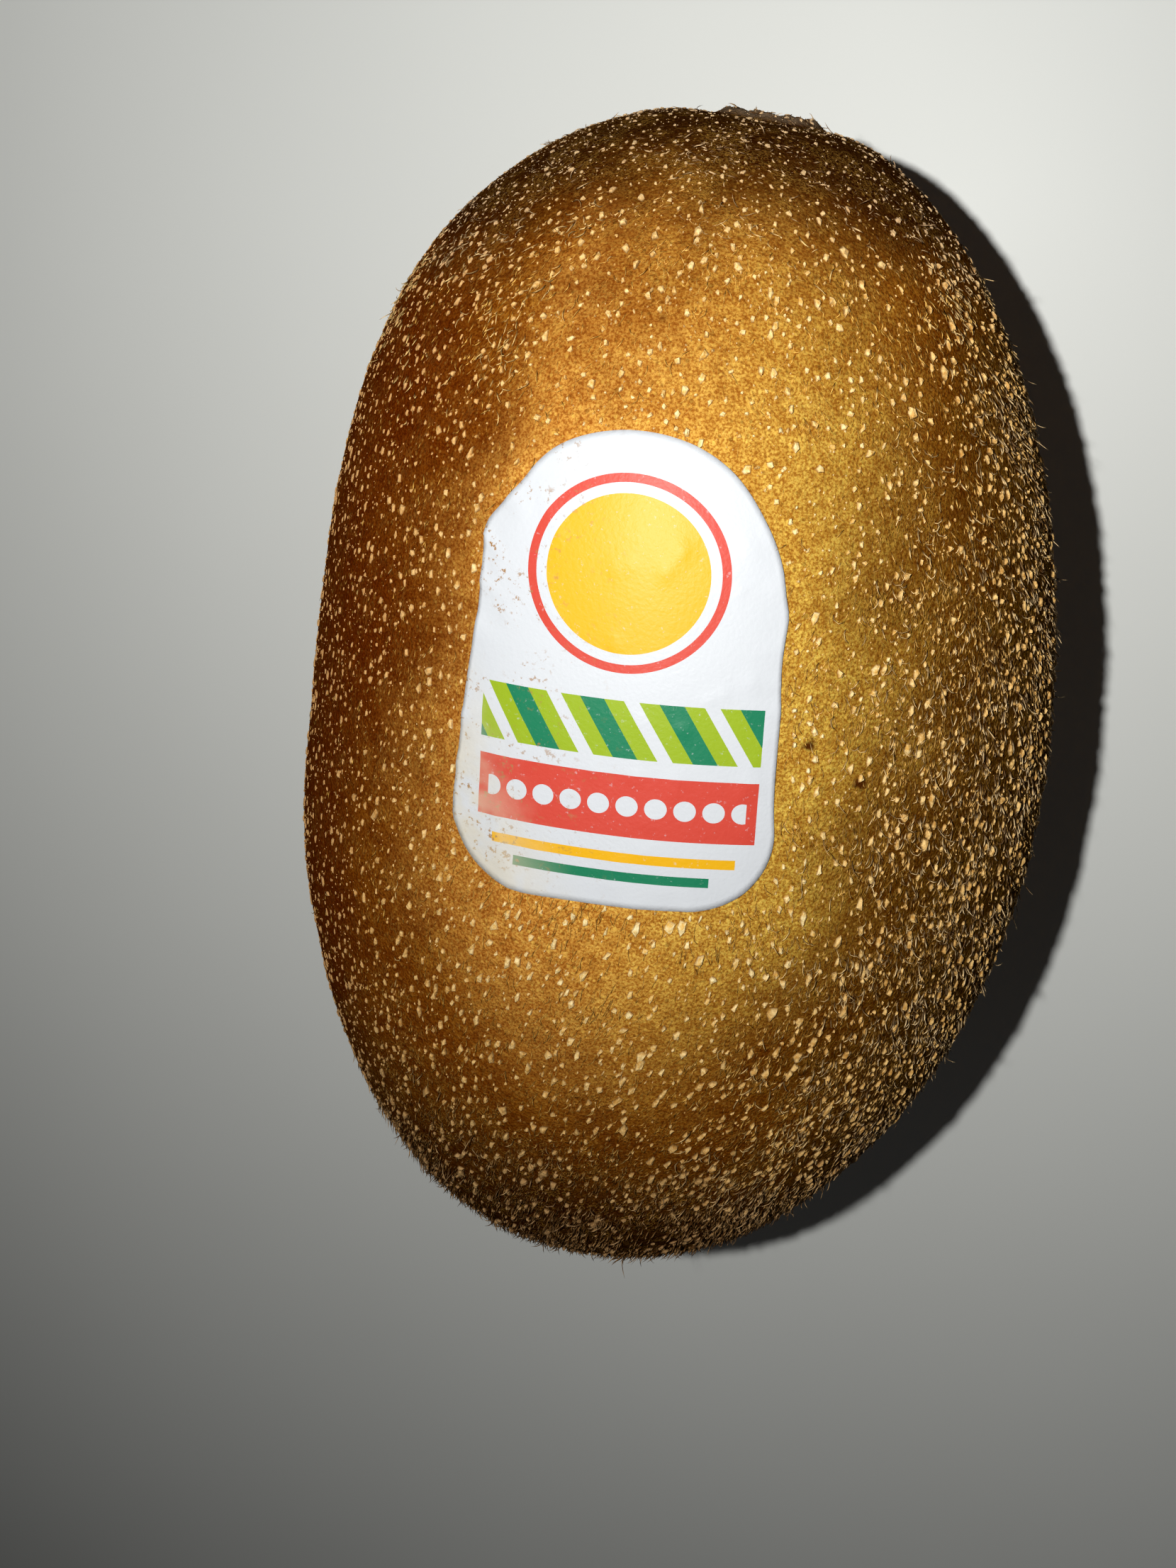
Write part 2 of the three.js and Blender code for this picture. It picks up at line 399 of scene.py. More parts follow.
def rise_map(count, levels):
    """A map whose second value runs from 0 at the foot of each small thing to 1 at its tip."""
    return np.tile(np.stack([0.5 + 0 * levels, levels], axis=-1), (count, 1))


def repeat_faces(pattern, count, points_each):
    faces = np.array(pattern)
    return (faces[None] + points_each * np.arange(count)[:, None, None]).reshape(-1, faces.shape[1])


def in_order(places):
    """The same places sorted along the fruit and round it, so that neighbours lie together on the map."""
    band = np.floor(places["point"][:, 1] / 3)
    return pick(places, np.lexsort((places["angle"], band)))


def turned(places, heading):
    """Directions in the skin at a heading from the way to the blossom end: ahead, and to the side."""
    ahead = np.cos(heading) * places["down"] + np.sin(heading) * places["side"]
    return ahead, np.cos(heading) * places["side"] - np.sin(heading) * places["down"]


def make_hairs(name, places, material, length, width, lift, bend, stray, curl, segments, seed):
    """Tapered three-sided hairs. Angles are in radians, and each is (middle, spread) over the hairs."""
    rng = np.random.default_rng(seed)
    places = in_order(places)
    count = len(places["point"])

    def draw(about):
        return (about[0] + about[1] * rng.uniform(-1, 1, count))[:, None]

    lay, lay_stray = lay_of(places["point"])
    longer, standing = stance_of(places["point"])
    length, width = draw(length) * longer, draw(width)
    heading = lay[:, None] + draw((0, stray)) * (0.35 + lay_stray[:, None])
    rise = np.maximum(draw(lift) + standing, 0.03)
    rise_change, heading_change = draw(bend) / segments, draw(curl) / segments
    centre = places["point"] - HAIR_ROOT * places["normal"]
    rings = []
    sides = [2 * math.pi * k / 3 for k in range(3)]
    for segment in range(segments + 1):
        level, across = turned(places, heading)
        forward = np.cos(rise) * level + np.sin(rise) * places["normal"]
        if segment == segments:
            rings.append(centre[:, None, :])
            break
        half = width / 2 * (1 - 0.65 * segment / segments)
        upright = np.cross(forward, across)
        rings.append(np.stack(
            [centre + half * (math.cos(a) * upright + math.sin(a) * across) for a in sides], axis=1
        ))
        centre = centre + forward * length / segments
        rise = rise + rise_change
        heading = heading + heading_change
    points = np.concatenate(rings, axis=1)
    points = points[points[:, :, 2].min(axis=1) > UNDERSIDE]
    count, each = points.shape[:2]
    quads = [
        (3 * s + k, 3 * s + (k + 1) % 3, 3 * s + 3 + (k + 1) % 3, 3 * s + 3 + k)
        for s in range(segments - 1)
        for k in range(3)
    ]
    last = 3 * (segments - 1)
    ends = [(2, 1, 0)] + [(last + k, last + (k + 1) % 3, each - 1) for k in range(3)]
    face_sets = [repeat_faces(ends, count, each)]
    if quads:
        face_sets.append(repeat_faces(quads, count, each))
    levels = np.append(np.repeat(np.arange(segments), 3), segments) / segments
    spots = [
        (0.5 * k, s / segments + (0.2 / segments if k == 1 else 0))
        for s in range(segments)
        for k in range(3)
    ]
    uv = {
        "OFBake": cells(count, np.array(spots + [(0.5, 1.0)])),
        "rise": rise_map(count, levels),
    }
    return make_piece(name, points.reshape(-1, 3), face_sets, material, uv)


def make_flakes(name, places, material, long, wide, height, sides, rings, seed):
    """Ragged corky flakes. rings are (share of the radius, share of the height) from the foot upwards."""
    rng = np.random.default_rng(seed)
    places = in_order(places)
    count = len(places["point"])
    here = shade_of(places["point"])
    lay, stray = lay_of(places["point"])
    heading = (lay + 0.5 * stray * rng.uniform(-1, 1, count))[:, None]
    along, across = turned(places, heading)
    roundness = np.clip(here["stem"] + 1.1 * here["rubbed"], 0, 1)
    drawn_out = ramp(0.4 * places["point"][:, 0] - places["point"][:, 1], -6, 8)
    size = np.clip(rng.lognormal(0.03, 0.28, count), 0.5, 1.6)
    size *= (1 - 0.15 * here["left"]) * (1 + 0.08 * drawn_out)
    size *= (1 - 0.25 * here["stem"]) * (1 - 0.12 * here["right"])
    half_wide = wide / 2 * size * rng.uniform(0.8, 1.2, count)
    slimness = long / wide * (1 + 0.15 * drawn_out)
    half_long = half_wide * (slimness + (1.1 - slimness) * roundness) * rng.uniform(0.8, 1.25, count)
    lift = height * np.clip(size, 0.6, 1.4) * rng.uniform(0.7, 1.3, count)
    lift *= (1 - 0.6 * here["left"]) * (1 - 0.45 * here["stem"])
    ragged = rng.uniform(0.62, 1.28, (count, sides))
    jitter = rng.uniform(-0.35, 0.35, (count, sides))
    angle = 2 * math.pi * (np.arange(sides)[None] + jitter) / sides
    parts = []
    for radius, level in rings:
        down = half_long[:, None] * radius * ragged * np.cos(angle)
        side = half_wide[:, None] * radius * ragged * np.sin(angle)
        up = lift[:, None] * level * rng.uniform(0.55, 1.25, (count, sides)) if level else 0 * angle - 0.06
        spot = places["point"][:, None] + down[..., None] * along[:, None] + side[..., None] * across[:, None]
        parts.append(spot + up[..., None] * places["normal"][:, None])
    off_centre = half_long[:, None] * rng.uniform(-0.3, 0.3, (count, 1)) * along
    top = places["point"] + lift[:, None] * places["normal"] + off_centre
    foot = places["point"] - FLAKE_ROOT * places["normal"]
    points = np.concatenate([*parts, top[:, None], foot[:, None]], axis=1)
    points = points[points[:, :, 2].min(axis=1) > UNDERSIDE]
    count, each = points.shape[:2]
    last = (len(rings) - 1) * sides
    caps = [(last + k, last + (k + 1) % sides, each - 2) for k in range(sides)]
    caps += [((k + 1) % sides, k, each - 1) for k in range(sides)]
    face_sets = [repeat_faces(caps, count, each)]
    if last:
        walls = [(k, (k + 1) % sides, sides + (k + 1) % sides, sides + k) for k in range(sides)]
        face_sets.append(repeat_faces(walls, count, each))
    turns = [2 * math.pi * k / sides for k in range(sides)]
    spots = [
        (0.5 + 0.5 * radius * math.cos(a), 0.5 + 0.5 * radius * math.sin(a))
        for radius, level in rings
        for a in turns
    ]
    levels = np.append(np.repeat([level for radius, level in rings], sides), [1, 0])
    uv = {
        "OFBake": cells(count, np.array([*spots, (0.5, 0.5), (0.5, 0.5)])),
        "rise": rise_map(count, levels),
    }
    return make_piece(name, points.reshape(-1, 3), face_sets, material, uv, smooth=False)


def make_skin(material):
    """The skin as rings of points between two end points."""
    sides = 220
    blossom_end = -math.pi / 2 + np.linspace(0.012, 0.25, 18)
    stem_end = math.pi / 2 - np.linspace(0.26, 0.006, 32)
    middle = np.linspace(blossom_end[-1], stem_end[0], 130)[1:-1]
    levels = np.concatenate([blossom_end, middle, stem_end])
    t, angle = np.meshgrid(levels, 2 * math.pi * np.arange(sides) / sides, indexing="ij")
    rings = skin(t, angle).reshape(-1, 3)
    ends = skin(np.array([-math.pi / 2, math.pi / 2]), np.zeros(2))
    points = np.concatenate([rings, ends])
    row = np.arange(len(levels) - 1)[:, None] * sides
    k = np.arange(sides)
    following = (k + 1) % sides
    quads = np.stack([row + k, row + sides + k, row + sides + following, row + following], axis=-1)
    top = len(rings) - sides
    first = np.stack([np.full(sides, len(rings)), k, following], axis=-1)
    last = np.stack([np.full(sides, len(rings) + 1), top + following, top + k], axis=-1)
    around, along = k / sides, (levels + math.pi / 2) / math.pi
    quad_u = np.stack([around, around, around + 1 / sides, around + 1 / sides], axis=-1)
    quad_v = np.stack([along[:-1], along[1:], along[1:], along[:-1]], axis=-1)
    quad_uv = np.stack(np.broadcast_arrays(quad_u[None], quad_v[:, None]), axis=-1).reshape(-1, 2)
    cap_uvs = [
        np.stack([
            np.stack([around + turn / sides for turn in turns], axis=-1).ravel(),
            np.tile([end, level, level], sides),
        ], axis=-1)
        for turns, end, level in (((0.5, 0, 1), 0, along[0]), ((0.5, 1, 0), 1, along[-1]))
    ]
    uv = {"OFBake": np.concatenate([quad_uv, *cap_uvs])}
    faces = [quads.reshape(-1, 4), first, last]
    piece = make_piece("kiwi_skin", points, faces, material, uv)
    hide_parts("fruit")


# The label's sheet

def label_edge(count):
    """Points evenly round the label's flat outline."""
    half, arch, foot = LABEL_LENGTH / 2, LABEL_ARCH / 2, LABEL_WIDTH / 2
    low, high = -half + LABEL_CORNER, half - arch
    quarter = np.linspace(-math.pi / 2, 0, 24)
    corner = LABEL_CORNER * np.stack([np.cos(quarter), np.sin(quarter)], -1)
    right = corner + (foot - LABEL_CORNER, low)
    dome_angle = np.linspace(0, math.pi, 60)
    dome = np.stack([arch * np.cos(dome_angle), high + arch * np.sin(dome_angle)], -1)
    left = right[::-1] * (-1, 1)
    loop = np.concatenate([[[0, -half]], right, dome, left, [[0, -half]]])
    reach = np.concatenate([[0], np.cumsum(np.linalg.norm(np.diff(loop, axis=0), axis=1))])
    even = np.linspace(0, reach[-1], count, endpoint=False)
    edge = np.stack([np.interp(even, reach, loop[:, 0]), np.interp(even, reach, loop[:, 1])], -1)
    ahead = np.roll(edge, -1, axis=0) - np.roll(edge, 1, axis=0)
    outward = unit(np.stack([ahead[:, 1], -ahead[:, 0]], -1))
    amount = 0.02 * np.sin(np.arange(count) * 2 * math.pi / count * 7)
    for x, y, size, reach in EDGE_SWELLS:
        amount += size * bell(np.hypot(edge[:, 0] - x, edge[:, 1] - y), reach)
    return edge + outward * amount[:, None]


def on_the_skin(flat):
    """Skin places for flat label points."""
    cos, sin = math.cos(LABEL_TURN), math.sin(LABEL_TURN)
    x = LABEL_MIDDLE[0] + cos * flat[:, 0] - sin * flat[:, 1]
    y = LABEL_MIDDLE[1] + sin * flat[:, 0] + cos * flat[:, 1]
    share = y / np.where(y > 0, STEM_LENGTH, BLOSSOM_LENGTH)
    up = plain_skin(share, np.full(len(share), math.pi / 2))[:, 2]
    return skin_frame(np.arcsin(share), math.pi / 2 - x / up)


def label_lift(flat, bumps):
    """How far the sheet stands off the skin: over the corky dots, and in small wrinkles near its edge."""
    inside = label_inside(flat[:, 0], flat[:, 1])
    round_it = np.arctan2(flat[:, 1], flat[:, 0])
    near_edge = bell(inside, 1.3)
    wrinkles = np.clip(np.sin(19 * round_it + 2.5 * np.sin(5 * round_it)), 0, 1) ** 2
    wrinkles *= 0.4 + 0.6 * ramp(-flat[:, 0], -2, 8)
    lift = 0.13 + near_edge * (0.13 * wrinkles - 0.04)
    crease = bell(flat[:, 0] + 6.2 + 0.6 * np.sin(flat[:, 1] / 2), 0.35) * ramp(-flat[:, 1], 0, 6)
    lift += 0.06 * crease
    for x, y, size in bumps:
        lift += 0.055 * bell(np.hypot(flat[:, 0] - x, flat[:, 1] - y), size)
    return lift


def make_label(material):
    rng = np.random.default_rng(61)
    bumps = np.column_stack([rng.uniform(-9, 9, 60), rng.uniform(-13, 13, 60), rng.uniform(0.3, 0.55, 60)])
    edge = label_edge(180)
    shares = np.linspace(0, 1, 33)[1:] ** 0.9
    flat = np.concatenate([[[0.0, 0.0]], *[edge * share for share in shares]])
    places = on_the_skin(flat)
    lift = label_lift(flat, bumps)[:, None]
    over = places["point"] + places["normal"] * lift
    under = places["point"] + places["normal"] * (lift - PAPER_THICKNESS)
    points = np.concatenate([over, under])
    around = len(edge)
    k = np.arange(around)
    following = (k + 1) % around
    row = 1 + np.arange(len(shares) - 1)[:, None] * around
    outer = row + around
    quads = np.stack([row + k, outer + k, outer + following, row + following], -1).reshape(-1, 4)
    middle = np.stack([np.zeros(around, int), 1 + k, 1 + following], -1)
    half = len(over)
    rim = 1 + (len(shares) - 1) * around
    wall = np.stack([rim + k, half + rim + k, half + rim + following, rim + following], -1)
    faces = [
        np.concatenate([quads, quads[:, ::-1] + half, wall]),
        np.concatenate([middle, middle[:, ::-1] + half]),
    ]
    print_map = flat / PRINT_SQUARE + 0.5
    narrowed = print_map * (0.5, 1)
    uv = {
        "OFBake": np.concatenate([narrowed, narrowed + (0.5, 0)]),
        "print": np.concatenate([print_map, print_map]),
    }
    piece = make_piece("fruit_label", points, faces, material, uv)
    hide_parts("label")


# The dried styles at the blossom end

def tube(path, radius, sides):
    """A closed tube along a path, its last ring drawn to a point."""
    forward = unit(np.gradient(path, axis=0))
    across = unit(np.cross(forward, (0.31, 0.2, 0.93)))
    upright = np.cross(forward, across)
    turn = 2 * math.pi * np.arange(sides) / sides
    rings = path[:-1, None] + radius[:-1, None, None] * (
        np.cos(turn)[None, :, None] * across[:-1, None] + np.sin(turn)[None, :, None] * upright[:-1, None]
    )
    points = np.concatenate([rings.reshape(-1, 3), path[:1], path[-1:]])
    k = np.arange(sides)
    following = (k + 1) % sides
    row = np.arange(len(path) - 2)[:, None] * sides
    quads = np.stack([row + k, row + following, row + sides + following, row + sides + k], -1).reshape(-1, 4)
    foot, tip = len(points) - 2, len(points) - 1
    last = (len(path) - 2) * sides
    tris = np.concatenate([
        np.stack([np.full(sides, foot), following, k], -1),
        np.stack([np.full(sides, tip), last + k, last + following], -1),
    ])
    return points, quads, tris


def make_styles(material):
    """The crown's disc and its curled styles, with thinner threads between them."""
    rng = np.random.default_rng(29)
    centre = skin(np.array([-math.pi / 2]), np.zeros(1))[0] - (0, 0.15, 0)
    points, quads, tris = [], [], []
    start = 0

    def add(part):
        nonlocal start
        points.append(part[0])
        quads.append(part[1] + start)
        tris.append(part[2] + start)
        start += len(part[0])

    levels = np.linspace(0, 1, 14)
    disc = np.stack([0 * levels, -0.75 * levels, 0 * levels], -1) + centre
    add(tube(disc, 2.15 * np.sqrt(np.clip(1 - levels**2.2, 0, 1)) * (1 + 0.02 * np.sin(9 * levels)), 36))
    for number in range(STYLES + STYLE_THREADS):
        thick = number < STYLES
        ring = (number + 0.5) / STYLES if thick else rng.uniform(0.1, 1.15)
        from_middle = math.sqrt(ring)
        turn = number * GOLDEN_ANGLE + 0.1 * rng.uniform(-1, 1)
        out = np.array([math.cos(turn), 0, math.sin(turn)])
        lean = math.radians(46 * from_middle + (0 if thick else 14))
        size = 1.7 * rng.uniform(0.75, 1.1) * (1 if thick else 0.8)
        share = np.linspace(0, 1, 11)
        bend = lean * (1 + 0.5 * share)
        sway = 0.12 * np.sin(5 * share + 6 * rng.random())
        away = 1.7 * from_middle + np.sin(bend) * size * share
        path = centre + out * away[:, None] - np.outer(0.35 + np.cos(bend) * size * share, (0, 1, 0))
        path += np.outer(sway * share, np.cross(out, (0, 1, 0)))
        radius = (0.27 if thick else 0.09) * (1 - 0.45 * share) * (1 + 0.12 * np.sin(17 * share + number))
        add(tube(path, radius, 8 if thick else 5))
    faces = [np.concatenate(quads), np.concatenate(tris)]
    piece = make_piece("styles_crown", np.concatenate(points), faces, material)
    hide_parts("dried_styles")


# Shader tools

def new_material(name):
    material = bpy.data.materials.new(name)
    material.use_nodes = True
    return material, material.node_tree, material.node_tree.nodes["Principled BSDF"]


def feed(tree, socket, value):
    """Sets a socket to a number or a colour, or links an output to it."""
    if isinstance(value, bpy.types.NodeSocket):
        tree.links.new(value, socket)
    else:
        socket.default_value = value


def fill(tree, node, **values):
    """Feeds a node's inputs by name, with _ for a space, and gives back its outputs."""
    for label, value in values.items():
        feed(tree, node.inputs[label.replace("_", " ")], value)
    return node.outputs


def new_group(name, **inputs):
    """A node group and its own inputs, which are numbers with these defaults."""
    tree = bpy.data.node_groups.new(name, "ShaderNodeTree")
    for label, default in inputs.items():
        socket = tree.interface.new_socket(label, in_out="INPUT", socket_type="NodeSocketFloat")
        socket.default_value = default
    return tree, tree.nodes.new("NodeGroupInput").outputs


def put_out(tree, **values):
    """Gives a group its outputs, which are numbers."""
    for label in values:
        tree.interface.new_socket(label, in_out="OUTPUT", socket_type="NodeSocketFloat")
    fill(tree, tree.nodes.new("NodeGroupOutput"), **values)
    return tree


def place_group(tree, group, **values):
    node = tree.nodes.new("ShaderNodeGroup")
    node.node_tree = group
    return fill(tree, node, **values)


def maths(tree, operation, *values):
    node = tree.nodes.new("ShaderNodeMath")
    node.operation = operation
    for socket, value in zip(node.inputs, values):
        feed(tree, socket, value)
    return node.outputs[0]


def times(tree, first, second):
    return maths(tree, "MULTIPLY", first, second)


def mix(tree, share, first, second, blend="MIX"):
    node = tree.nodes.new("ShaderNodeMix")
    node.data_type = "RGBA"
    node.blend_type = blend
    node.clamp_factor = True
    return fill(tree, node, Factor=share, A=first, B=second)["Result"]


def layered(tree, colour, *layers):
    """Lays colours over one another in turn, each given as (mask, colour)."""
    for mask, tone in layers:
        colour = mix(tree, mask, colour, tone)
    return colour


def spread(tree, value, low, high, to_low=0.0, to_high=1.0):
    """Maps low to high smoothly onto to_low to to_high."""
    node = tree.nodes.new("ShaderNodeMapRange")
    node.interpolation_type = "SMOOTHSTEP"
    fill(tree, node, Value=value, From_Min=low, From_Max=high)
    return fill(tree, node, To_Min=to_low, To_Max=to_high)["Result"]


def object_place(tree):
    return tree.nodes.new("ShaderNodeTexCoord").outputs["Object"]


def axes_of(tree, vector):
    return fill(tree, tree.nodes.new("ShaderNodeSeparateXYZ"), Vector=vector)


def map_place(tree, name):
    """The two values of a named map."""
    node = tree.nodes.new("ShaderNodeUVMap")
    node.uv_map = name
    return axes_of(tree, node.outputs[0])


def rise_of(tree):
    """0 at the foot of a hair or flake, 1 at its tip."""
    return map_place(tree, "rise")[1]


def noise(tree, scale, detail=2.0, roughness=0.5, vector=None):
    """Cloudy noise from 0 to 1, over the object where no vector is given."""
    node = tree.nodes.new("ShaderNodeTexNoise")
    place = object_place(tree) if vector is None else vector
    return fill(tree, node, Vector=place, Scale=scale, Detail=detail, Roughness=roughness)["Fac"]


def scattered_cells(tree, scale):
    """Cells with a Distance from each one's middle and a Color of its own."""
    node = tree.nodes.new("ShaderNodeTexVoronoi")
    return fill(tree, node, Vector=object_place(tree), Scale=scale)


def bump(tree, height, distance, strength=1.0, normal=None):
    node = tree.nodes.new("ShaderNodeBump")
    if normal is not None:
        feed(tree, node.inputs["Normal"], normal)
    return fill(tree, node, Height=height, Distance=distance, Strength=strength)["Normal"]


# Shader groups, in metres in the row frame

def make_regions_group():
    """Masks of the fruit's regions, by place on it: ends, sides, underside, the painted highlight on top and
    scar.
    """
    tree, _ = new_group("fruit_regions")
    plain_x, plain_y, z = axes_of(tree, object_place(tree))
    drift = maths(tree, "MULTIPLY_ADD", noise(tree, 90.0, 3.0), 0.014, -0.007)
    x = maths(tree, "ADD", plain_x, drift)
    y = maths(tree, "SUBTRACT", plain_y, drift)
    bowed = maths(tree, "MULTIPLY_ADD", times(tree, x, x), 12.0, y)
    leaning = maths(tree, "MULTIPLY_ADD", y, -0.1, x)
    away_x = maths(tree, "DIVIDE", maths(tree, "SUBTRACT", x, HIGHLIGHT_MIDDLE[0]), HIGHLIGHT_REACH[0])
    away_y = maths(tree, "DIVIDE", maths(tree, "SUBTRACT", y, HIGHLIGHT_MIDDLE[1]), HIGHLIGHT_REACH[1])
    away = maths(tree, "MULTIPLY_ADD", away_y, away_y, times(tree, away_x, away_x))
    across = maths(tree, "POWER", plain_x, 2.0)
    height = maths(tree, "POWER", maths(tree, "SUBTRACT", z, AXIS_HEIGHT), 2.0)
    from_axis = maths(tree, "SQRT", maths(tree, "ADD", across, height))
    near_axis = spread(tree, from_axis, 0.0036, 0.0029)
    return put_out(
        tree,
        Stem=spread(tree, bowed, 0.032, 0.040),
        Blossom=spread(tree, y, -0.015, -0.035),
        Left=spread(tree, x, -0.009, -0.022),
        Right=spread(tree, leaning, 0.006, 0.021),
        # The mask on the next line is the painted highlight: where a pool of bright light on top is painted
        # into the colours.
        Glow=times(tree, spread(tree, away, 1.3, 0.0), spread(tree, z, 0.024, 0.036)),
        Under=spread(tree, z, 0.032, 0.010),
        Scar=times(tree, near_axis, maths(tree, "GREATER_THAN", y, 0.03)),
    )


def make_grain_group():
    """Fine surface grain: Size is the number of grains in a metre, Pebbles how far they stand out."""
    tree, given = new_group("fine_grain", Size=5000.0, Pebbles=0.5)
    soft = noise(tree, given["Size"], 3.0, 0.6)
    pebbles = maths(tree, "SUBTRACT", 1.0, scattered_cells(tree, given["Size"])["Distance"])
    return put_out(tree, Height=maths(tree, "MULTIPLY_ADD", pebbles, given["Pebbles"], soft))


def make_speckle_group():
    """Scattered specks: Size is the number of cells in a metre, Share how large the specks are."""
    tree, given = new_group("specks", Size=700.0, Share=0.2)
    cell = scattered_cells(tree, given["Size"])
    chosen = fill(tree, tree.nodes.new("ShaderNodeSeparateColor"), Color=cell["Color"])
    reach = times(tree, chosen[0], given["Share"])
    return put_out(tree, Mask=spread(tree, cell["Distance"], reach, times(tree, reach, 0.6)))


def make_threads_group():
    """Thin wavy threads in the surface: Across and Along are how many fit in a metre each way."""
    tree, given = new_group("wavy_threads", Across=2500.0, Along=800.0, Lean=0.2, Width=0.05)
    x, y, z = axes_of(tree, object_place(tree))
    leaning = maths(tree, "MULTIPLY_ADD", y, times(tree, given["Lean"], -1.0), x)
    stretched = fill(
        tree, tree.nodes.new("ShaderNodeCombineXYZ"),
        X=times(tree, leaning, given["Across"]),
        Y=times(tree, y, given["Along"]),
        Z=times(tree, z, given["Across"]),
    )
    waves = noise(tree, 1.0, 1.5, 0.6, stretched[0])
    from_crest = maths(tree, "ABSOLUTE", maths(tree, "SUBTRACT", waves, 0.5))
    return put_out(tree, Mask=spread(tree, from_crest, given["Width"], 0.0))


regions = make_regions_group()
grain = make_grain_group()
specks = make_speckle_group()
threads = make_threads_group()


# Materials

def skin_colours(tree, masks):
    """The skin's golden brown: a painted highlight of bright gold on top, redder on the left and darker there
    as painted shade, painted shade on the right and the underside, dark brown at both ends.
    """
    tone = spread(tree, noise(tree, 160.0, 4.0, 0.6), 0.35, 0.65)
    colour = mix(tree, tone, (0.18, 0.048, 0.003, 1), (0.245, 0.078, 0.005, 1))
    olive = spread(tree, axes_of(tree, object_place(tree))[0], -0.010, 0.012)
    colour = layered(
        tree, colour,
        # Painted highlight: bright gold painted where the light pools on top, shifting to olive towards the
        # right.
        (masks["Glow"], mix(tree, olive, (0.66, 0.295, 0.052, 1), (0.53, 0.31, 0.044, 1))),
        # Painted shade: darker on the right side, which is turned from the light.
        (masks["Right"], (0.080, 0.032, 0.002, 1)),
        # Redder on the left as the skin's own tone, and darker there as painted shade at the grazing edge.
        (masks["Left"], (0.115, 0.020, 0.001, 1)),
        # Painted shade: darker on the underside.
        (masks["Under"], (0.070, 0.017, 0.001, 1)),
        (masks["Blossom"], (0.038, 0.009, 0.001, 1)),
        (masks["Stem"], (0.036, 0.009, 0.001, 1)),
    )
    mottle = spread(tree, noise(tree, 900.0, 3.0, 0.6), 0.3, 0.75, 0.75, 1.15)
    grit = spread(tree, noise(tree, 6200.0, 2.0, 0.7), 0.34, 0.66, 0.55, 1.38)
    mottle = times(tree, mottle, grit)
    joined = tree.nodes.new("ShaderNodeCombineColor")
    for channel, depth in enumerate((0.75, 1.25, 1.8)):
        feed(tree, joined.inputs[channel], maths(tree, "POWER", mottle, depth))
    return mix(tree, 1.0, colour, joined.outputs[0], "MULTIPLY")


def thread_mask(tree, masks):
    """Threads of fuzz pressed flat on the skin: curly near the stem, in lines elsewhere."""
    curly = place_group(tree, threads, Across=2700.0, Along=2700.0, Lean=0.0, Width=0.055)["Mask"]
    lines = place_group(tree, threads, Across=3300.0, Along=950.0, Lean=0.2, Width=0.07)["Mask"]
    patchy = spread(tree, noise(tree, 420.0, 3.0, 0.6), 0.42, 0.62)
    outer = maths(tree, "MAXIMUM", masks["Right"], masks["Blossom"])
    for mask, gain, base in ((outer, 0.45, 0.35), (masks["Left"], -0.6, 1.0), (masks["Glow"], -0.8, 1.0)):
        lines = times(tree, lines, maths(tree, "MULTIPLY_ADD", mask, gain, base))
    curly = times(tree, times(tree, curly, masks["Stem"]), 0.6)
    patchy = maths(tree, "MULTIPLY_ADD", patchy, 0.75, 0.10)
    return times(tree, maths(tree, "MAXIMUM", lines, curly), patchy)


def scuff(tree, across, along, reach):
    """A small ragged scuff on the fruit's upper side."""
    x, y, z = axes_of(tree, object_place(tree))
    x = maths(tree, "SUBTRACT", x, across)
    y = maths(tree, "SUBTRACT", y, along)
    distance = maths(tree, "SQRT", maths(tree, "MULTIPLY_ADD", x, x, times(tree, y, y)))
    ragged = maths(tree, "MULTIPLY_ADD", noise(tree, 2000.0), 0.0006, distance)
    mask = spread(tree, ragged, reach + 0.0004, reach)
    return times(tree, mask, maths(tree, "GREATER_THAN", z, 0.03))


def make_skin_material():
    material, tree, surface = new_material("kiwi_skin")
    masks = place_group(tree, regions)
    pressed = thread_mask(tree, masks)
    # The pressed threads are dim brown, and bright gold where the highlight is painted.
    thread_and_highlight_tone = mix(tree, masks["Glow"], (0.50, 0.25, 0.045, 1), (0.98, 0.66, 0.12, 1))
    # Painted glints: tiny bright specks of painted sparkle, most of them in the painted highlight.
    painted_glints = place_group(tree, specks, Size=2900.0, Share=0.42)["Mask"]
    painted_glints = times(tree, painted_glints, maths(tree, "MULTIPLY_ADD", masks["Glow"], 0.15, 0.28))
    pores = place_group(tree, specks, Size=1900.0, Share=0.36)["Mask"]
    blemish = place_group(tree, specks, Size=95.0, Share=0.09)["Mask"]
    scar = mix(tree, noise(tree, 1800.0, 3.0), (0.05, 0.03, 0.018, 1), (0.22, 0.15, 0.09, 1))
    colour = layered(
        tree, skin_colours(tree, masks),
        (times(tree, pressed, 0.9), thread_and_highlight_tone),
        (painted_glints, thread_and_highlight_tone),
        (times(tree, pores, 0.35), (0.06, 0.018, 0.001, 1)),
        (times(tree, blemish, 0.8), (0.05, 0.012, 0.002, 1)),
        *((scuff(tree, *place), (0.07, 0.018, 0.002, 1)) for place in SCUFFS),
        (masks["Scar"], scar),
    )
    rough = spread(tree, noise(tree, 400.0, 2.0), 0.3, 0.7, 0.34, 0.46)
    rough = maths(tree, "MAXIMUM", rough, times(tree, masks["Scar"], 0.85))
    fine = place_group(tree, grain, Size=4200.0, Pebbles=0.5)["Height"]
    coarse = place_group(tree, grain, Size=1300.0, Pebbles=0.3)["Height"]
    normal = bump(tree, coarse, 0.00012, 0.6)
    normal = bump(tree, fine, 0.00009, 0.9, normal)
    normal = bump(tree, pressed, 0.00012, 1.0, normal)
    fill(tree, surface, Base_Color=colour, Roughness=rough, Specular_IOR_Level=0.0, Normal=normal)
    return material


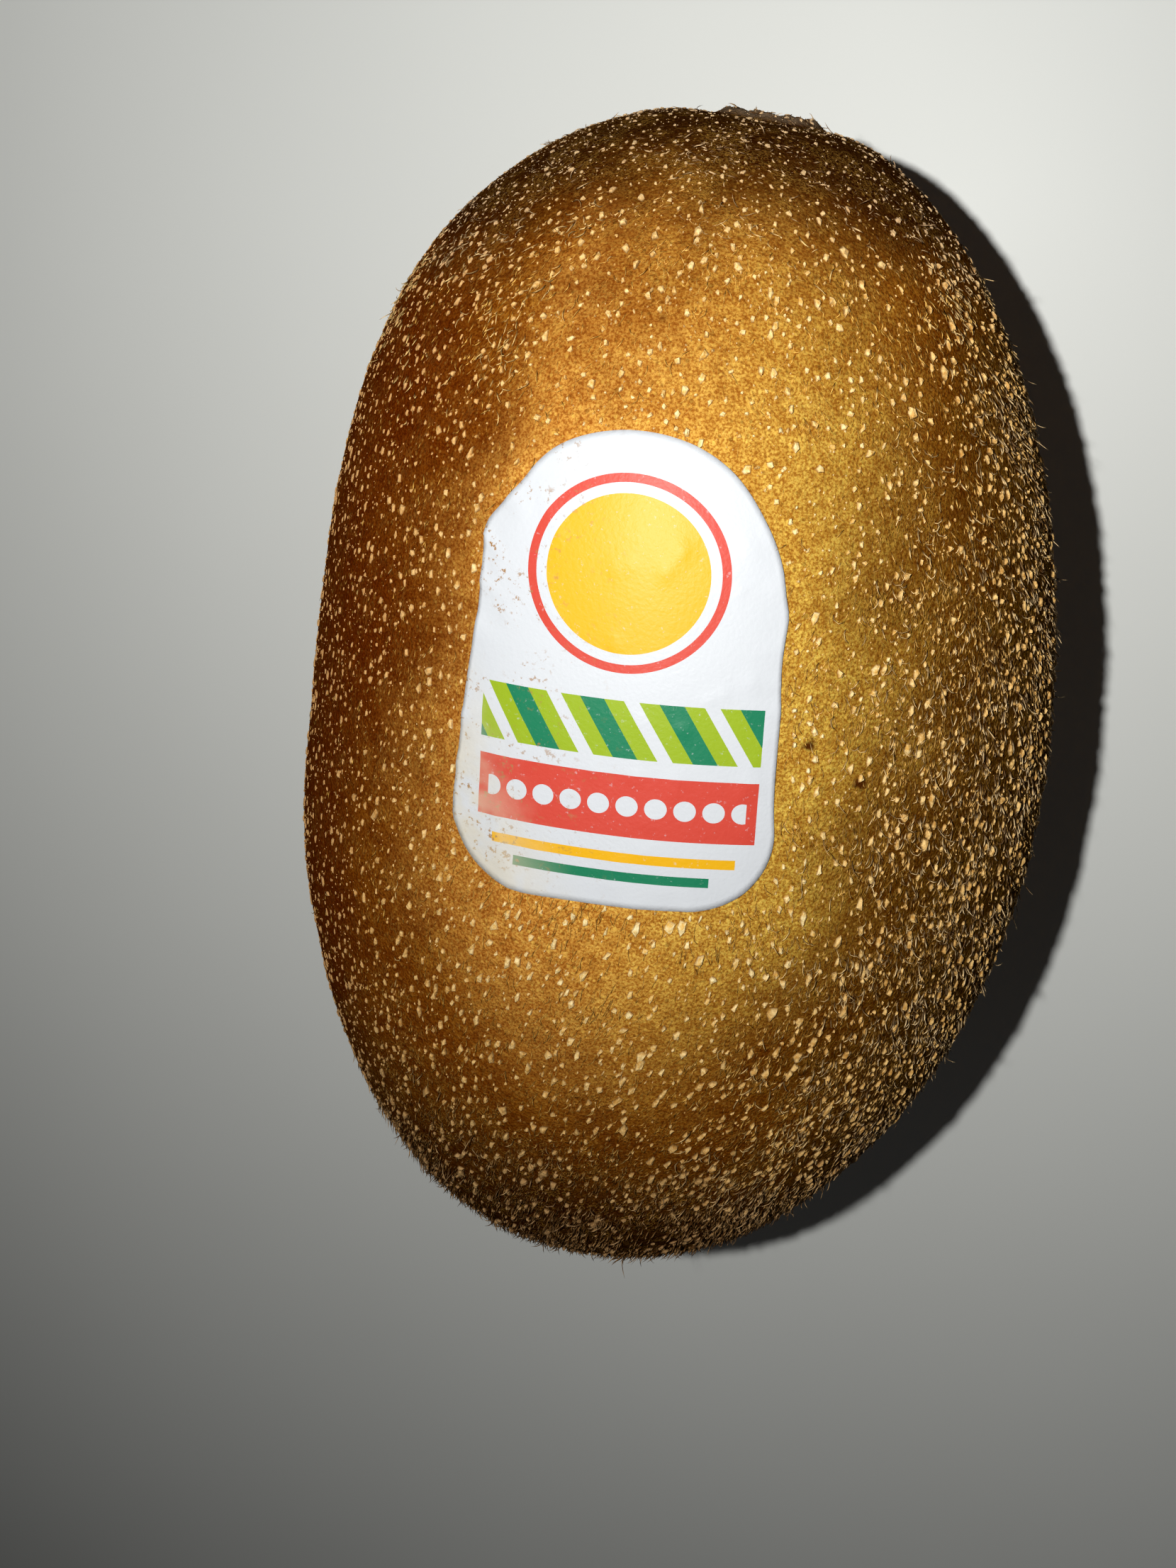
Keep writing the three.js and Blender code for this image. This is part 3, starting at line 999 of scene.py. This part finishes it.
def make_cork_material():
    """The corky dots: dry pale tan, browner where the skin is browner, creamier where the highlight is
    painted on top, darker on the left and underside as painted shade, and darkened at each one's foot as
    painted shade.
    """
    material, tree, surface = new_material("corky_tan")
    masks = place_group(tree, regions)
    tone = spread(tree, noise(tree, 2200.0, 3.0, 0.7), 0.3, 0.7)
    # The colour of the painted shade at each dot's foot, lighter where the highlight is painted; it is
    # blended in below.
    foot = mix(tree, masks["Glow"], (0.06, 0.018, 0.002, 1), (0.34, 0.13, 0.006, 1))
    colour = layered(
        tree, mix(tree, tone, (0.52, 0.25, 0.050, 1), (0.94, 0.62, 0.24, 1)),
        # Painted highlight: creamier dots where the light pools on top.
        (masks["Glow"], mix(tree, tone, (0.80, 0.46, 0.10, 1), (0.98, 0.86, 0.50, 1))),
        # Darker on the left, partly painted shade.
        (times(tree, masks["Left"], 0.65), (0.60, 0.30, 0.115, 1)),
        # Painted shade: darker dots on the underside.
        (times(tree, masks["Under"], 0.7), (0.34, 0.16, 0.055, 1)),
        (times(tree, masks["Blossom"], 0.8), (0.33, 0.18, 0.08, 1)),
        (times(tree, masks["Stem"], 0.6), (0.52, 0.38, 0.25, 1)),
    )
    # Painted shade: each dot darkens from its top down to its foot.
    colour = mix(tree, spread(tree, rise_of(tree), 0.0, 0.75), foot, colour)
    rough = place_group(tree, grain, Size=4200.0, Pebbles=0.6)["Height"]
    normal = bump(tree, rough, 0.00008, 0.9)
    fill(tree, surface, Base_Color=colour, Roughness=0.5, Specular_IOR_Level=0.08, Normal=normal)
    return material


def make_fuzz_material(name, near, far):
    """Dry hair: near is its colour on the top, far at the sides and ends; each hair darkens to its root as
    painted shade.
    """
    material, tree, surface = new_material(name)
    masks = place_group(tree, regions)
    outer = masks["Stem"]
    for region in ("Blossom", "Right", "Under"):
        outer = maths(tree, "MAXIMUM", outer, masks[region])
    tone = spread(tree, noise(tree, 1500.0, 1.0), 0.40, 0.60)
    dark = times(tree, tone, maths(tree, "MULTIPLY_ADD", outer, 0.38, 0.5))
    colour = layered(
        tree, mix(tree, outer, near, far),
        (times(tree, masks["Stem"], 0.75), (0.62, 0.40, 0.22, 1)),
        (times(tree, masks["Blossom"], 0.8), (0.42, 0.22, 0.09, 1)),
        (dark, (0.09, 0.032, 0.006, 1)),
    )
    # Painted shade: each hair darkens towards its root, where it meets the skin.
    colour = mix(tree, spread(tree, rise_of(tree), 0.0, 0.7), (0.05, 0.016, 0.002, 1), colour)
    fill(tree, surface, Base_Color=colour, Roughness=0.45, Specular_IOR_Level=0.01)
    return material


def make_style_material():
    material, tree, surface = new_material("dried_style")
    tone = noise(tree, 1500.0, 4.0, 0.7)
    colour = mix(tree, tone, (0.03, 0.015, 0.007, 1), (0.20, 0.11, 0.05, 1))
    rough = place_group(tree, grain, Size=3500.0, Pebbles=0.4)["Height"]
    fill(tree, surface, Base_Color=colour, Roughness=0.85, Normal=bump(tree, rough, 0.00008, 0.8))
    return material


# The label's print, laid out in millimetres from the label's middle

def inside_disc(tree, x, y, centre, radius):
    across = maths(tree, "SUBTRACT", x, centre[0])
    along = maths(tree, "SUBTRACT", y, centre[1])
    squares = maths(tree, "ADD", times(tree, across, across), times(tree, along, along))
    return maths(tree, "LESS_THAN", squares, radius * radius)


def between(tree, value, low, high):
    over = maths(tree, "GREATER_THAN", value, low)
    return times(tree, over, maths(tree, "LESS_THAN", value, high))


def make_label_material():
    """White paper with a gold disc, a band of slanted green stripes and a dotted red band."""
    material, tree, surface = new_material("label_print")
    u, v, _ = map_place(tree, "print")
    x = maths(tree, "MULTIPLY_ADD", u, PRINT_SQUARE, -PRINT_SQUARE / 2)
    y = maths(tree, "MULTIPLY_ADD", v, PRINT_SQUARE, -PRINT_SQUARE / 2)
    white, red, gold = (0.63, 0.65, 0.69, 1), (0.61, 0.062, 0.04, 1), (0.80, 0.42, 0.006, 1)
    lime, green = (0.30, 0.42, 0.015, 1), (0.010, 0.19, 0.09, 1)
    crumb, stain = (0.36, 0.19, 0.07, 1), (0.66, 0.58, 0.42, 1)
    wide = between(tree, x, -8.0, 8.0)
    slant = maths(tree, "MULTIPLY_ADD", y, 0.6, x)
    stripe = maths(tree, "GREATER_THAN", maths(tree, "PINGPONG", slant, 1.1), 0.42)
    dark_stripe = maths(tree, "GREATER_THAN", maths(tree, "PINGPONG", slant, 2.2), 1.52)
    stripe_band = times(tree, wide, between(tree, y, -4.6, -1.2))
    step = maths(tree, "SUBTRACT", maths(tree, "PINGPONG", x, 1.6), 0.8)
    dots = times(tree, inside_disc(tree, step, y, (0, -7.5), 0.62), between(tree, x, -7.4, 7.4))
    upper_line = times(tree, between(tree, x, -7.0, 7.0), between(tree, y, -11.0, -10.4))
    lower_line = times(tree, between(tree, x, -5.6, 5.6), between(tree, y, -12.2, -11.6))
    worn = spread(tree, noise(tree, 3200.0, 3.0, 0.7), 0.62, 0.72, 0.0, 0.35)
    crumbs = spread(tree, noise(tree, 2600.0, 4.0, 0.65), 0.57, 0.65)
    dirty = times(tree, spread(tree, x, 2.0, -8.5), spread(tree, noise(tree, 380.0), 0.40, 0.60))
    low_left = spread(tree, maths(tree, "ADD", x, times(tree, y, 0.5)), -7.5, -14.0)
    dull = times(tree, low_left, spread(tree, noise(tree, 500.0), 0.30, 0.60))
    ink = layered(
        tree, white,
        (inside_disc(tree, x, y, (0, 6.0), 5.6), red),
        (inside_disc(tree, x, y, (0, 6.0), 5.1), white),
        (inside_disc(tree, x, y, (0, 6.0), 4.5), gold),
        (times(tree, stripe_band, stripe), lime),
        (times(tree, stripe_band, dark_stripe), green),
        (times(tree, wide, between(tree, y, -9.4, -5.6)), red),
        (dots, white),
        (upper_line, gold),
        (lower_line, green),
        (worn, white),
        (times(tree, crumbs, dirty), crumb),
        (times(tree, dull, 0.6), stain),
    )
    paper = place_group(tree, grain, Size=3600.0, Pebbles=0.3)["Height"]
    normal = bump(tree, paper, 0.00004, 0.5)
    fill(tree, surface, Base_Color=ink, Roughness=0.46, Specular_IOR_Level=0.3, Normal=normal)
    return material


# The stage

def make_floor():
    """A plain pale surface."""
    material, tree, surface = new_material("pale_surface")
    tone = noise(tree, 30.0, 3.0)
    colour = mix(tree, tone, (0.70, 0.71, 0.69, 1), (0.74, 0.75, 0.73, 1))
    fill(tree, surface, Base_Color=colour, Roughness=0.75)
    mesh = bpy.data.meshes.new("pale_surface")
    reach = 1.5
    corners = [(-reach, -reach, 0), (reach, -reach, 0), (reach, reach, 0), (-reach, reach, 0)]
    mesh.from_pydata(corners, [], [(0, 1, 2, 3)])
    mesh.materials.append(material)
    floor = bpy.data.objects.new("pale_surface", mesh)
    bpy.context.scene.collection.objects.link(floor)


def area_light(name, place, aim, size, power, beam=180.0, colour=(1, 1, 1)):
    """A round light at a place in the row frame, in metres, that faces aim. beam is in degrees."""
    data = bpy.data.lights.new(name, "AREA")
    data.shape = "DISK"
    data.size = size
    data.energy = power
    data.color = colour
    data.spread = math.radians(beam)
    light = bpy.data.objects.new(name, data)
    back = unit(np.array(place) - np.array(aim))
    right = unit(np.cross((0.0, 1.0, 0.02), back))
    up = np.cross(back, right)
    light.matrix_world = standing(place, [right, up, back])
    light.visible_camera = False
    bpy.context.scene.collection.objects.link(light)
    return light


def make_lights():
    """A near key just left of the lens, and weak fill all round."""
    right, up, back = CAMERA_AXES
    key = to_row(CAMERA_PLACE - 28.7 * right + 3.9 * up + 24.5 * back)
    area_light("key", key, (0.014, 0.036, 0), 0.0045, 0.088, 94.0, (1.0, 1.0, 0.97))
    area_light("fill_left", (-0.42, -0.12, 0.12), (0, 0, 0.015), 0.25, 0.025)
    area_light("fill_blossom", (0.22, -0.45, 0.10), (0, 0, 0.015), 0.25, 0.05)
    world = bpy.data.worlds.new("studio")
    world.use_nodes = True
    world.node_tree.nodes["Background"].inputs["Color"].default_value = (1.0, 0.98, 0.95, 1)
    world.node_tree.nodes["Background"].inputs["Strength"].default_value = 0.012
    bpy.context.scene.world = world


def grow(name, count, seed, amount, material, length, width, lift, bend, stray, curl, segments):
    hairs = scatter(count, seed, amount)
    hairs = pick(hairs, off_the_label(hairs))
    make_hairs(name, hairs, material, length, width, lift, bend, stray, curl, segments, seed + 1)


# Making everything

make_skin(make_skin_material())

cork = make_cork_material()
flakes = scatter(FLAKES * 2, 11, flake_amount)
flakes = pick(flakes, off_the_label(flakes, -0.2))
flakes = pick(flakes, spread_out(flakes["point"], 0.56))
flakes = pick(flakes, np.arange(min(len(flakes["point"]), FLAKES)))
make_flakes("corky_flakes", flakes, cork, 0.56, 0.36, 0.17, 5, [(1, 0), (0.66, 0.75)], 17)
flecks = scatter(FLECKS, 13, fleck_amount)
flecks = pick(flecks, off_the_label(flecks, -0.1))
make_flakes("corky_flecks", flecks, cork, 0.34, 0.19, 0.10, 5, [(1, 0)], 18)

golden = make_fuzz_material("golden_fuzz", (0.94, 0.54, 0.12, 1), (0.90, 0.53, 0.17, 1))
pale = make_fuzz_material("pale_fuzz", (0.94, 0.62, 0.23, 1), (0.95, 0.68, 0.36, 1))

grow(
    "fuzz_nap", NAP_HAIRS, 21, fuzz_amount, golden,
    length=(0.58, 0.28), width=(0.12, 0.03), lift=(0.13, 0.10), bend=(0, 0),
    stray=0.7, curl=(0, 0), segments=1,
)
for part, seed in (("a", 31), ("b", 33)):
    grow(
        "fuzz_bent_" + part, BENT_HAIRS // 2, seed, fuzz_amount, golden,
        length=(0.74, 0.32), width=(0.11, 0.03), lift=(0.24, 0.14), bend=(-0.2, 0.35),
        stray=0.7, curl=(0, 1.8), segments=2,
    )
grow(
    "fuzz_curled", CURLED_HAIRS, 51, curl_amount, pale,
    length=(0.95, 0.4), width=(0.125, 0.025), lift=(0.30, 0.20), bend=(-0.4, 0.6),
    stray=1.0, curl=(0, 3.0), segments=3,
)
grow(
    "fuzz_wisps", WISPS, 61, curl_amount, pale,
    length=(1.4, 0.5), width=(0.085, 0.015), lift=(0.55, 0.35), bend=(-0.5, 0.9),
    stray=1.4, curl=(0, 2.4), segments=4,
)

make_label(make_label_material())
make_styles(make_style_material())
make_floor()
make_lights()

bpy.context.scene.view_settings.view_transform = "Standard"
